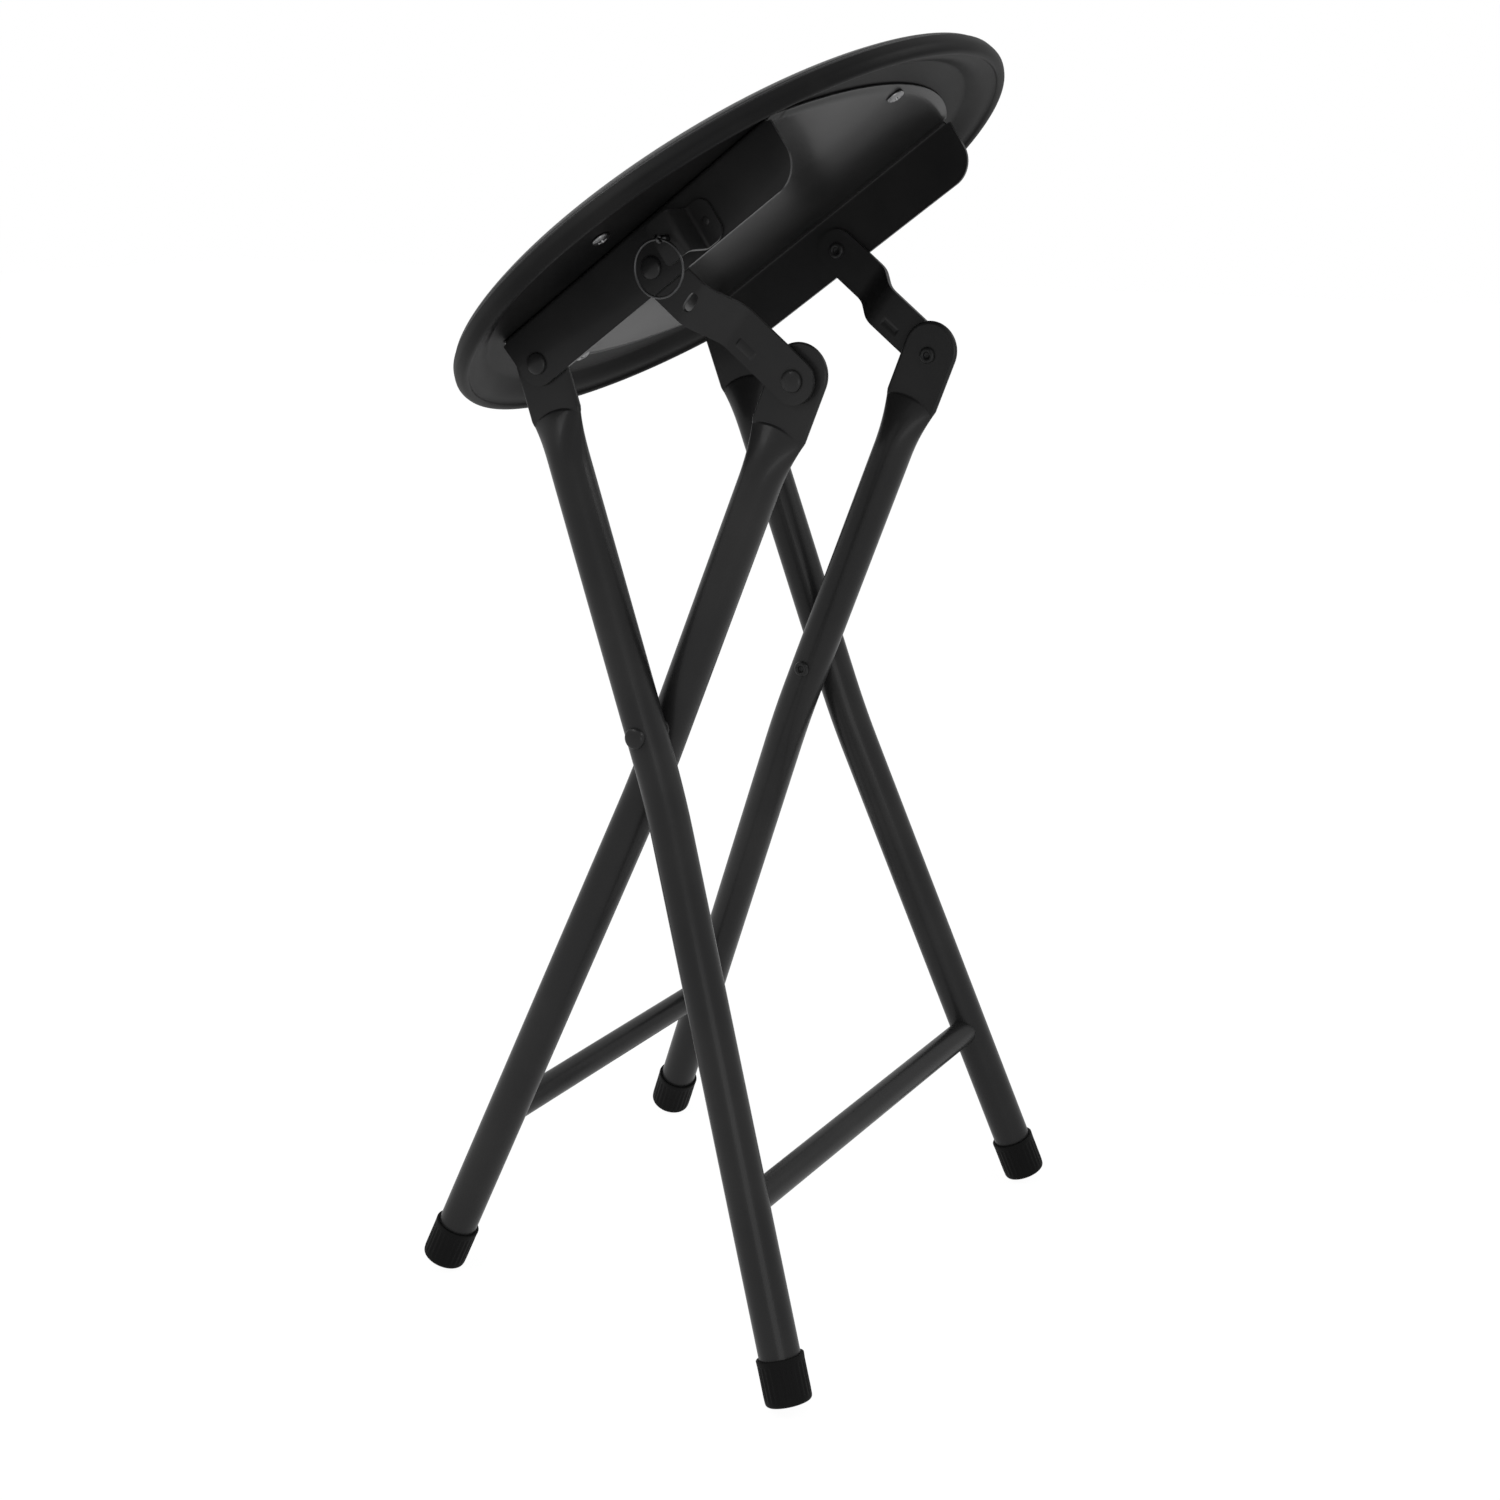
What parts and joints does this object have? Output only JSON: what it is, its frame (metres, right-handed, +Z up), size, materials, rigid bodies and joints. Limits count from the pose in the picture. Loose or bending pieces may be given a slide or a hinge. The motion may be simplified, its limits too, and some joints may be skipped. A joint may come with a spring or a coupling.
{
  "type": "folding stool",
  "caption": "Round folding stool with a padded seat on a steel channel, two crossing tube leg frames, joggled links, a sprung lock pin and rubber feet, shown part-folded.",
  "frame": {"origin": "middle of the base of the object's bounding box, on the floor, in the middle plane", "axes": "+Z up, +X from the inner legs' feet towards the outer legs' feet, +Y to the right side, across the legs"},
  "size_m": [0.3118, 0.3788, 0.7817],
  "materials": {
    "paint": "satin black powder coat",
    "tray": "smooth satin black",
    "vinyl": "black vinyl with a fine grain",
    "plywood": "unfinished",
    "zinc": "bright zinc plate",
    "wire": "dark plated steel wire",
    "rubber": "matt black, finely ribbed",
    "nylon": "matt black"
  },
  "bodies": {
    "seat": {"seat_cushion": "vinyl", "seat_board": "plywood", "seat_pan": "tray", "seat_bracket": "paint", "seat_screw_1": "zinc", "seat_screw_2": "zinc", "seat_screw_3": "zinc", "seat_screw_4": "zinc", "lock_bracket": "paint", "lock_bracket_rivet": "paint", "lock_spring": "wire"},
    "outer_pivot": {"outer_leg_rivet_left": "paint", "outer_leg_rivet_right": "paint"},
    "outer_legs": {"outer_leg_left": "paint", "outer_leg_right": "paint", "outer_crossbar": "paint", "outer_foot_left": "rubber", "outer_foot_right": "rubber"},
    "cross_pivot": {"cross_rivet_left": "paint", "cross_rivet_right": "paint", "cross_washer_left": "nylon", "cross_washer_right": "nylon"},
    "inner_legs": {"inner_leg_left": "paint", "inner_leg_right": "paint", "inner_crossbar": "paint", "inner_foot_left": "rubber", "inner_foot_right": "rubber", "link_low_rivet_tail_left": "paint", "link_low_rivet_tail_right": "paint"},
    "link_pivot": {"link_top_rivet_left": "paint", "link_top_rivet_right": "paint"},
    "links": {"link_left": "paint", "link_right": "paint", "link_washer_left": "zinc", "link_washer_right": "zinc", "link_low_rivet_head_left": "paint", "link_low_rivet_head_right": "paint"},
    "pin": {"lock_pin": "wire"},
    "ring": {"pull_ring": "wire"}
  },
  "joints": [
    {"name": "open_a", "type": "hinge", "parent": "seat", "child": "outer_pivot", "pos_m": [-0.06573, 0, 0.59733], "axis": [0, -1, 0], "range_deg": [0, 41.87]},
    {"name": "fold_a", "type": "hinge", "parent": "outer_pivot", "child": "outer_legs", "pos_m": [-0.06573, 0, 0.59733], "axis": [0, -1, 0], "range_deg": [-64.22, 0]},
    {"name": "open_m", "type": "hinge", "parent": "outer_legs", "child": "cross_pivot", "pos_m": [0.00971, 0, 0.38292], "axis": [0, -1, 0], "range_deg": [-10.72, 0]},
    {"name": "fold_m", "type": "hinge", "parent": "cross_pivot", "child": "inner_legs", "pos_m": [0.00971, 0, 0.38292], "axis": [0, -1, 0], "range_deg": [0, 35.2]},
    {"name": "open_c", "type": "hinge", "parent": "seat", "child": "link_pivot", "pos_m": [0.01548, 0, 0.65482], "axis": [0, -1, 0], "range_deg": [0, 73.02]},
    {"name": "fold_c", "type": "hinge", "parent": "link_pivot", "child": "links", "pos_m": [0.01548, 0, 0.65482], "axis": [0, -1, 0], "range_deg": [-93.24, 0]},
    {"name": "lock_slide", "type": "slide", "parent": "seat", "child": "pin", "axis": [0, 1, 0], "range_m": [0, 0.0045]},
    {"name": "ring_swing", "type": "hinge", "parent": "pin", "child": "ring", "pos_m": [0.03996, -0.1425, 0.67215], "axis": [-1, 0, 0], "range_deg": [-8, 90]}
  ],
  "couplings": [
    {"joint": "open_m", "follows": "open_a", "ratio": -0.25604},
    {"joint": "open_c", "follows": "open_a", "ratio": 1.744},
    {"joint": "fold_m", "follows": "fold_a", "ratio": -0.54809},
    {"joint": "fold_c", "follows": "fold_a", "ratio": 1.4519}
  ]
}
